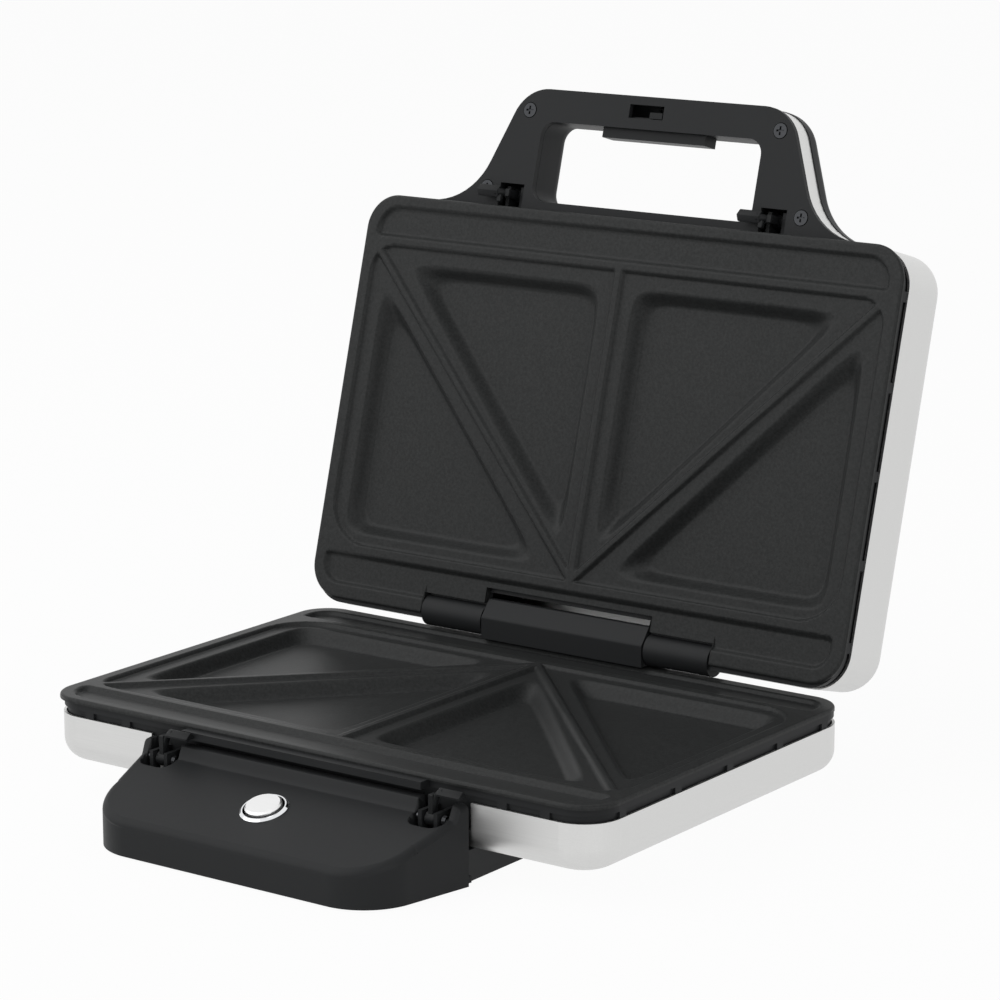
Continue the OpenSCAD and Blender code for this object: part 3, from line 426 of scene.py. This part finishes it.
def plate_top(x, y):
    """Height of the plate: the rim less smooth steps into each pocket, well and channel.

    The diagonal rib takes the ledge's step back to nothing over its own width, and the plate's
    own edge falls off on a quarter circle.
    """
    x_all, x = x, np.abs(x)
    pocket = np.minimum(
        inside_rounded(x, y, -60, POCKET_HALF, POCKET_FRONT, POCKET_BACK + FAR, POCKET_FRONT_R),
        inside_rounded(x, y, -60, POCKET_HALF, POCKET_FRONT - FAR, POCKET_BACK, POCKET_BACK_R))
    pocket = np.minimum(pocket, x - DIVIDER_W / 2)
    run = (RIB_BACK - RIB_FRONT) / np.hypot(*(RIB_BACK - RIB_FRONT))
    across = np.abs((x - RIB_FRONT[0]) * run[1] - (y - RIB_FRONT[1]) * run[0])
    ledge = smooth((pocket + 0.5) / 1.4) * smooth((across - RIB_W / 2 + 0.9) / 1.5)
    depth = LEDGE_T * ledge
    for corners in WELLS:
        well = smooth((inside_triangle(x, y, corners) + 0.5) / 5.4)
        depth = depth + (WELL_T - LEDGE_T) * ledge * well
    front = np.minimum(
        inside_rounded(x, y, -POCKET_HALF, POCKET_HALF, PLATE_FRONT + 4.5, POCKET_FRONT + FAR, 10),
        inside_rounded(x, y, -POCKET_HALF, POCKET_HALF, PLATE_FRONT - FAR, POCKET_FRONT - 3.5, 2))
    back = np.minimum(
        inside_rounded(x, y, -POCKET_HALF, POCKET_HALF, POCKET_BACK + 4, POCKET_BACK + FAR, 2),
        inside_rounded(x, y, -POCKET_HALF, POCKET_HALF, POCKET_FRONT, PLATE_BACK - 5.9, 8))
    depth = depth + CHANNEL_T * smooth((np.maximum(front, back) + 0.6) / 2.2)
    fall = np.clip(RIM_ROUND - plate_inside(x_all, y), 0, RIM_ROUND)
    return PLATE_Z - (depth + RIM_ROUND - np.sqrt(RIM_ROUND ** 2 - fall ** 2))


def plate_inside(x, y):
    """Distance inside the plate's outline."""
    return inside_rounded(x, y, -PLATE_HALF, PLATE_HALF, PLATE_FRONT, PLATE_BACK, PLATE_R)


def cooking_plate(name, body, replaces, notches=(), turn=None):
    """One cooking plate: columns of fixed x, each running between the plate's rounded ends."""
    columns = edge_spaced(-PLATE_HALF, PLATE_HALF, PLATE_STEP)
    for half, _ in notches:
        columns = np.concatenate([columns, [-half - 0.01, -half + 0.01, half - 0.01, half + 0.01]])
    columns = np.unique(columns)
    length = PLATE_BACK - PLATE_FRONT
    along = (edge_spaced(PLATE_FRONT, PLATE_BACK, PLATE_STEP) - PLATE_FRONT) / length
    past = np.clip(np.abs(columns) - PLATE_HALF + PLATE_R, 0, PLATE_R)
    bulge = PLATE_R - np.sqrt(PLATE_R ** 2 - past ** 2)
    low, high = PLATE_FRONT + bulge, PLATE_BACK - bulge
    x = np.repeat(columns[:, None], len(along), 1)
    y = low[:, None] + (high - low)[:, None] * along[None, :]
    for half, edge in notches:
        drawn = TAIL_Y + (y - TAIL_Y) * (edge - TAIL_Y) / (PLATE_BACK - TAIL_Y)
        y = np.where((y > TAIL_Y) & (np.abs(x) < half), np.minimum(y, drawn), y)
    rim = np.stack([grid_border(x), grid_border(y)], -1)
    step = 0.05
    px, py = rim[:, 0], rim[:, 1]
    inward = np.stack([plate_inside(px + step, py) - plate_inside(px - step, py),
                       plate_inside(px, py + step) - plate_inside(px, py - step)], -1) / (2 * step)
    inward[np.abs(plate_inside(px, py)) > step] = 0.0
    body_edge = rim + BODY_IN * inward
    tub_edge = body_edge * [TUB_NARROWER, TUB_SHORTER] + [0.0, TUB_SHIFT]
    # the tub runs straight behind the wells, whatever the notches do
    notched = (py > TAIL_Y) & (np.abs(px) < NOTCH_REACH)
    tub_edge[notched, 1] = (PLATE_BACK - BODY_IN) * TUB_SHORTER + TUB_SHIFT
    rings = [level(rim, RIM_UNDER_Z), level(body_edge, BODY_TOP_Z), level(body_edge, BODY_UNDER_Z),
             level(tub_edge, BODY_UNDER_Z), level(tub_edge, TUB_FLOOR_Z)]
    raised_sheet(name, x, y, plate_top(x, y), slope_normals(plate_top, x, y), rings, body,
                 COATING, replaces, turn)


cooking_plate("lower_cooking_plate", "base", "lower_plate")
cooking_plate("upper_cooking_plate", "lid", "upper_plate", HINGE_NOTCHES, lid_twin)


# ---------- front block ----------

NOSE_OUT, NOSE_R, NOSE_LEAN, NOSE_EDGE = 46.4, 22.0, math.radians(10), 2.6
LATCH_X, LATCH_Y, LATCH_Z = 61.5, FRONT_Y - 6.3, 23.9
NOSE_HALF, NOSE_BACK_HALF = LATCH_X - 15.4, LATCH_X + 11.5
BUTTON_Y, BUTTON_Z, NOSE_SLOPE = FRONT_Y - 23.5, 20.2, math.tan(math.radians(17))
BUTTON_BORE, BUTTON_PIT = 8.6, 13.0
LATCH_PIT_HALF, LATCH_PIT_FRONT, LATCH_PIT_Z = 6.8, FRONT_Y - 13.5, LATCH_Z - 6
NOSE_FRONT, BLOCK_BACK = FRONT_Y - NOSE_OUT, FRONT_Y - 1.2
LEDGE_Y = FRONT_Y - 4.5
FOLD_Y = LEDGE_Y - 3.2
# the block's underside has a shallow recess inside a narrow foot
RECESS_SCALE, RECESS_T = [0.962, 0.89], 2.6


def block_half_width(y):
    """Half width of the block's plan at y: the corner's circle, then the straight flank."""
    arc_x = NOSE_HALF + NOSE_R * math.cos(NOSE_LEAN)
    arc_y = NOSE_FRONT + NOSE_R * (1 - math.sin(NOSE_LEAN))
    flank = arc_x + (NOSE_BACK_HALF - arc_x) * (y - arc_y) / (BLOCK_BACK - arc_y)
    past = np.clip(NOSE_FRONT + NOSE_R - y, 0, NOSE_R)
    return np.where(y < arc_y, NOSE_HALF + np.sqrt(NOSE_R ** 2 - past ** 2), flank)


def block_inside(x, y):
    """Rough distance inside the block's plan: to the corner's circle, the front and the flank."""
    qx = np.abs(x) - NOSE_HALF
    qy = NOSE_FRONT + NOSE_R - y
    corner = NOSE_R - np.hypot(np.maximum(qx, 0), np.maximum(qy, 0))
    side = (block_half_width(y) - np.abs(x)) * math.cos(NOSE_LEAN)
    return np.where(qy > 0, np.where(qx > 0, corner, NOSE_R - qy), side)


def block_top(x, y):
    """Height of the block: the sloping face, a soft fold into the rise, and the rounded edges.

    Pits let the button and the two plate latches in.
    """
    slope = BUTTON_Z + NOSE_SLOPE * (y - BUTTON_Y)
    step = RIM_Z - BUTTON_Z - NOSE_SLOPE * (FOLD_Y - BUTTON_Y)
    rise = slope + step * smooth((y - FOLD_Y) / (LEDGE_Y - FOLD_Y + 0.8))
    z = np.minimum(np.where(y > FOLD_Y, rise, slope), RIM_Z - 0.05)
    fall = np.clip(NOSE_EDGE - block_inside(x, y), 0, NOSE_EDGE)
    z = z - NOSE_EDGE + np.sqrt(np.maximum(NOSE_EDGE ** 2 - fall ** 2, 0))
    along = math.sqrt(1 + NOSE_SLOPE ** 2)
    bore = np.hypot(x, (y - BUTTON_Y) * along) - BUTTON_BORE
    z = z - BUTTON_PIT * smooth(-bore / 0.5)
    notch = inside_rounded(np.abs(x), y, LATCH_X - LATCH_PIT_HALF, LATCH_X + LATCH_PIT_HALF,
                           LATCH_PIT_FRONT, FRONT_Y + 20, 4)
    return z + (np.minimum(z, LATCH_PIT_Z) - z) * smooth((notch + 0.5) / 1.0)


def front_block():
    """The block: rows of fixed y, each as wide as the plan is there, crowded at the corners."""
    crowd = NOSE_FRONT + NOSE_R * (1 - np.cos(np.linspace(0, 0.5, 12)))
    rows = np.unique(np.concatenate([edge_spaced(NOSE_FRONT, BLOCK_BACK, 0.4), crowd]))
    across = edge_spaced(-NOSE_BACK_HALF, NOSE_BACK_HALF, 0.45) / NOSE_BACK_HALF
    x = across[:, None] * block_half_width(rows)[None, :]
    y = np.repeat(rows[None, :], len(across), 0)
    edge = np.stack([grid_border(x), grid_border(y)], -1)
    middle = np.array([0.0, (NOSE_FRONT + BLOCK_BACK) / 2])
    inner = middle + (edge - middle) * RECESS_SCALE
    raised_sheet("front_block_shell", x, y, block_top(x, y), slope_normals(block_top, x, y),
                 [level(edge, 0.0), level(inner, 0.0), level(inner, RECESS_T)],
                 "base", CASE_PLASTIC, "front_block")


front_block()


# ---------- plate latches ----------

# (x, radius) round the pin, from the bore out and back into it
EYE_PROFILE = ((-2.2, 1.25), (-2.2, 2.3), (-1.9, 2.6), (1.9, 2.6), (2.2, 2.3), (2.2, 1.25),
               (-2.2, 1.25))
NECK_OUT, NECK_UP, NECK_OVAL = 4.5, 10.6, (1.4, 1.1)
# (y, z) of the finger bar: a flat foot and two faces that meet in a ridge
BAR_SECTION = np.array([(-2.4, 9.2), (-2.5, 9.9), (-0.35, 11.75), (0.05, 11.75), (2.2, 10.4),
                        (2.2, 9.2)])
BAR_X, BAR_MIDDLE_Z = np.array([3.0, 3.3, 12.6, 12.9]), 10.4
BAR_SHRINK = np.array([0.9, 1.0, 1.0, 0.9])[:, None]


def soft_box(low, high, edge=0.3):
    """A box whose section across x has its corners cut, drawn in at both ends."""
    (x0, y0, z0), (x1, y1, z1) = low, high
    a, b = (y1 - y0) / 2, (z1 - z0) / 2
    section = np.array([(-a, -b + edge), (-a + edge, -b), (a - edge, -b), (a, -b + edge),
                        (a, b - edge), (a - edge, b), (-a + edge, b), (-a, b - edge)])
    end = 1 - edge / min(a, b)
    shrink = np.array([end, 1, 1, end])[:, None]
    x = np.array([x0, x0 + edge, x1 - edge, x1])
    return capped(np.stack([np.repeat(x[:, None], 8, 1), (y0 + y1) / 2 + shrink * section[:, 0],
                            (z0 + z1) / 2 + shrink * section[:, 1]], -1))


def latch_neck():
    """An oval section carried along a quarter of an ellipse, from the eye to the finger bar."""
    t = np.linspace(0.12, np.pi / 2, 13)
    path = np.stack([NECK_OUT * (1 - np.cos(t)), 0 * t, NECK_UP * np.sin(t)], -1)
    along = np.stack([NECK_OUT * np.sin(t), 0 * t, NECK_UP * np.cos(t)], -1)
    along /= np.linalg.norm(along, axis=1, keepdims=True)
    side = np.cross(along, [0.0, 1.0, 0.0])
    a = np.linspace(0, 2 * np.pi, 17)[:-1]
    deep, thick = NECK_OVAL[0] * np.cos(a), NECK_OVAL[1] * np.sin(a)
    return capped(path[:, None, :] + deep[None, :, None] * np.array([0.0, 1.0, 0.0])
                  + thick[None, :, None] * side[:, None, :])


def latch_parts():
    """A plate latch about its pin: eye, neck, finger bar, hook and the web behind the neck."""
    turn = np.linspace(0, 2 * np.pi, 25)[:-1]
    eye = np.array([np.stack([np.full(24, x), r * np.cos(turn), r * np.sin(turn)], -1)
                    for x, r in EYE_PROFILE])
    bar = np.stack([np.repeat(BAR_X[:, None], 6, 1), BAR_SECTION[:, 0] * BAR_SHRINK,
                    BAR_MIDDLE_Z + (BAR_SECTION[:, 1] - BAR_MIDDLE_Z) * BAR_SHRINK], -1)
    return [(eye, band_quads(len(EYE_PROFILE), 24), []), latch_neck(), capped(bar),
            soft_box((1.6, 0.9, 8.4), (3.8, 4.0, 10.4)),
            soft_box((-1.2, -1.6, 1.5), (1.2, 1.6, 9.0))]


def latch(name, side, turn=None):
    """Puts a latch on its pin at x = side * LATCH_X in the lower half, and turns it from there."""
    parts = []
    for points, quads, ngons in latch_parts():
        points = points + [side * LATCH_X, LATCH_Y, LATCH_Z]
        parts.append((turn(points) if turn else points, quads, ngons))
    make_piece(name + "_lever", parts, name, LATCH_PLASTIC, name, 40)


latch("base_latch_left", -1)
latch("base_latch_right", 1)
latch("lid_latch_left", 1, lid_twin)
latch("lid_latch_right", -1, lid_twin)


# ---------- handle ----------

HANDLE_HALF, FOOT_HALF, HANDLE_FRONT = 50.5, 100.0, FRONT_Y - 49.4
HANDLE_R, FLARE_R, HANDLE_LEAN = 16.5, 28.0, 21.0
GRIP_HALF, GRIP_FRONT, GRIP_BACK, GRIP_R = 51.7, HANDLE_FRONT + 13.0, FRONT_Y - 4.3, 6.0
SHELL_Y = FRONT_Y - 0.4
TRIM_Z, OUTER_Z, OUTER_T = 47.3, 56.0, 9.0
# each rounded edge of the cover: how far it comes in, and the height at which it starts
OUTSIDE_EDGE_IN, OUTSIDE_EDGE_START = 5.0, 3.0
GRIP_EDGE_IN, GRIP_EDGE_START = 3.0, 4.0
SLEEVE_T, SQUEEZE_HALF = 1.8, 24.5


def evenly(line, n):
    """n points spread evenly along a line, its last point left out."""
    run = np.concatenate([[0], np.cumsum(np.hypot(*np.diff(line, axis=0).T))])
    at = np.linspace(0, run[-1], n + 1)[:-1]
    return np.stack([np.interp(at, run, line[:, 0]), np.interp(at, run, line[:, 1])], -1)


def both_sides(parts, counts=(90, 90, 60)):
    """A closed line from three parts of its right half, front middle to back middle.

    Every line made here has the same counts, so that two of them can be joined point to point.
    """
    half = [evenly(part, n) for part, n in zip(parts, counts)]
    half = np.concatenate(half + [parts[-1][-1:]])
    return np.concatenate([half, half[-2:0:-1] * [-1, 1]])


def handle_line(inset):
    """Handle's outline: front edge and corner arc; leaning flank and flare; edge at the shell."""
    corner = arc_points(HANDLE_HALF, HANDLE_FRONT + HANDLE_R, HANDLE_R - inset,
                        -90, -HANDLE_LEAN, 24)
    flare = arc_points(FOOT_HALF, FRONT_Y - 1 - FLARE_R, FLARE_R + inset,
                       180 - HANDLE_LEAN, 90, 30)
    flare = np.concatenate([corner[-1:], flare, [[FOOT_HALF, SHELL_Y]]])
    flare[:, 1] = np.minimum(flare[:, 1], SHELL_Y)
    front = np.concatenate([[[0.0, HANDLE_FRONT + inset]], corner])
    return both_sides([front, flare, np.array([[FOOT_HALF, SHELL_Y], [0.0, SHELL_Y]])])


def grip_line(more):
    """Finger opening, wider by more: a rounded rectangle in the same three parts."""
    x, y0, y1, r = GRIP_HALF + more, GRIP_FRONT - more, GRIP_BACK + more, GRIP_R + more
    front = np.concatenate([[[0.0, y0]], arc_points(x - r, y0 + r, r, -90, 0, 12)])
    side = np.concatenate([front[-1:], arc_points(x - r, y1 - r, r, 0, 90, 12)])
    return both_sides([front, side, np.concatenate([side[-1:], [[0.0, y1]]])])


def sleeve(more, z):
    """The sleeve's line at height z, kept up at the cover where the squeeze bar passes."""
    line = grip_line(more)
    gap = (np.abs(line[:, 0]) < SQUEEZE_HALF) & (line[:, 1] < GRIP_FRONT + 1)
    return np.column_stack([line, np.where(gap, OUTER_Z, z)])


def outer_cover():
    """Back cover of the handle: a section carried round between its outline and the opening.

    Both top edges are quarter ellipses; a thin sleeve runs down inside the opening.
    """
    a = np.radians(np.linspace(0, 90, 9))
    outside = [level(handle_line(OUTSIDE_EDGE_IN * (1 - math.cos(t))),
                     OUTER_Z + OUTSIDE_EDGE_START + (OUTER_T - OUTSIDE_EDGE_START) * math.sin(t))
               for t in a]
    opening = [level(grip_line(GRIP_EDGE_IN * (1 - math.cos(t))),
                     OUTER_Z + GRIP_EDGE_START + (OUTER_T - GRIP_EDGE_START) * math.sin(t))
               for t in a[::-1]]
    under = level(handle_line(0), OUTER_Z)
    rings = np.array([under, *outside, *opening, sleeve(0, TRIM_Z + 0.35), sleeve(0.3, TRIM_Z),
                      sleeve(SLEEVE_T, TRIM_Z), sleeve(SLEEVE_T, OUTER_Z), under])
    make_piece("handle_back_cover", [(on_lid(rings), band_quads(*rings.shape[:2]), [])], "lid",
               CASE_PLASTIC, "handle_outer", 28)


outer_cover()


# ---------- room, light and camera ----------

FLOOR_HALF, FLOOR_Z = 4.0, -0.8 * MM


def room():
    """A pale floor that keeps the shadow, and a white world.

    Camera and gloss see the floor nearly, and the world wholly, as white.
    """
    floor = bpy.data.meshes.new("floor")
    s, z = FLOOR_HALF, FLOOR_Z
    floor.from_pydata([(-s, -s, z), (s, -s, z), (s, s, z), (-s, s, z)], [], [(0, 1, 2, 3)])
    obj = bpy.data.objects.new("floor", floor)
    bpy.context.scene.collection.objects.link(obj)
    mat, tree, out = new_material("white_paper_floor")
    path = add(tree, "ShaderNodeLightPath")
    matt = add(tree, "ShaderNodeBsdfDiffuse", {"Color": colour("#f6f6f6")})
    glow = add(tree, "ShaderNodeEmission", {"Color": (1, 1, 1, 1), "Strength": 1.0})
    seen = add(tree, "ShaderNodeMath", {"operation": "MAXIMUM"},
               {0: (path, "Is Camera Ray"), 1: (path, "Is Glossy Ray")})
    part = add(tree, "ShaderNodeMath", {"operation": "MULTIPLY", 1: 0.95}, {0: (seen, 0)})
    mix = add(tree, "ShaderNodeMixShader", None, {0: (part, 0), 1: (matt, 0), 2: (glow, 0)})
    tree.links.new(mix.outputs[0], out.inputs["Surface"])
    floor.materials.append(mat)
    world = bpy.data.worlds.new("studio")
    bpy.context.scene.world = world
    world.use_nodes = True
    tree = world.node_tree
    tree.nodes.clear()
    path = add(tree, "ShaderNodeLightPath")
    through = add(tree, "ShaderNodeMath", {"operation": "MAXIMUM"},
                  {0: (path, "Is Glossy Ray"), 1: (path, "Is Transmission Ray")})
    seen = add(tree, "ShaderNodeMath", {"operation": "MAXIMUM"},
               {0: (path, "Is Camera Ray"), 1: (through, 0)})
    strength = add(tree, "ShaderNodeMapRange", {"To Min": 0.36, "To Max": 1.0},
                   {"Value": (seen, 0)})
    back = add(tree, "ShaderNodeBackground", {"Color": (1, 1, 1, 1)},
               {"Strength": (strength, "Result")})
    add(tree, "ShaderNodeOutputWorld", None, {"Surface": (back, 0)})


def lamp(name, place, size, watts):
    """A square soft box, turned towards the toaster."""
    light = bpy.data.lights.new(name, "AREA")
    light.size, light.energy = size, watts
    obj = bpy.data.objects.new(name, light)
    bpy.context.scene.collection.objects.link(obj)
    obj.location = place
    obj.rotation_euler = (Vector((0, 0, 0.1)) - Vector(place)).to_track_quat("-Z", "Y").to_euler()


def photograph_camera():
    """Camera fitted to the photograph: azimuth, elevation and roll, and the focal length.

    The angles are in degrees and the focal length in pixels of an image 1000 wide.
    """
    az, el, roll = (math.radians(a) for a in (-36.125, -12.698, -0.0948))
    place, focal = (0.79974, -1.06177, 0.41168), 3690.97
    fwd = np.array([math.sin(az) * math.cos(el), math.cos(az) * math.cos(el), math.sin(el)])
    right = np.array([math.cos(az), -math.sin(az), 0.0])
    up = np.cross(right, fwd)
    r = right * math.cos(roll) + up * math.sin(roll)
    u = up * math.cos(roll) - right * math.sin(roll)
    data = bpy.data.cameras.new("camera")
    data.sensor_width, data.lens = 36.0, focal * 36.0 / 1000.0
    data.clip_start, data.clip_end = 0.05, 20.0
    cam = bpy.data.objects.new("camera", data)
    bpy.context.scene.collection.objects.link(cam)
    cam.matrix_world = Matrix([(r[i], u[i], -fwd[i], place[i]) for i in range(3)]
                              + [(0, 0, 0, 1)])
    bpy.context.scene.camera = cam


room()
lamp("key", (-0.9, -1.1, 1.5), 2.4, 24)
lamp("fill", (1.5, -0.9, 0.7), 1.0, 4)
photograph_camera()
bpy.context.scene.view_settings.view_transform = "Standard"
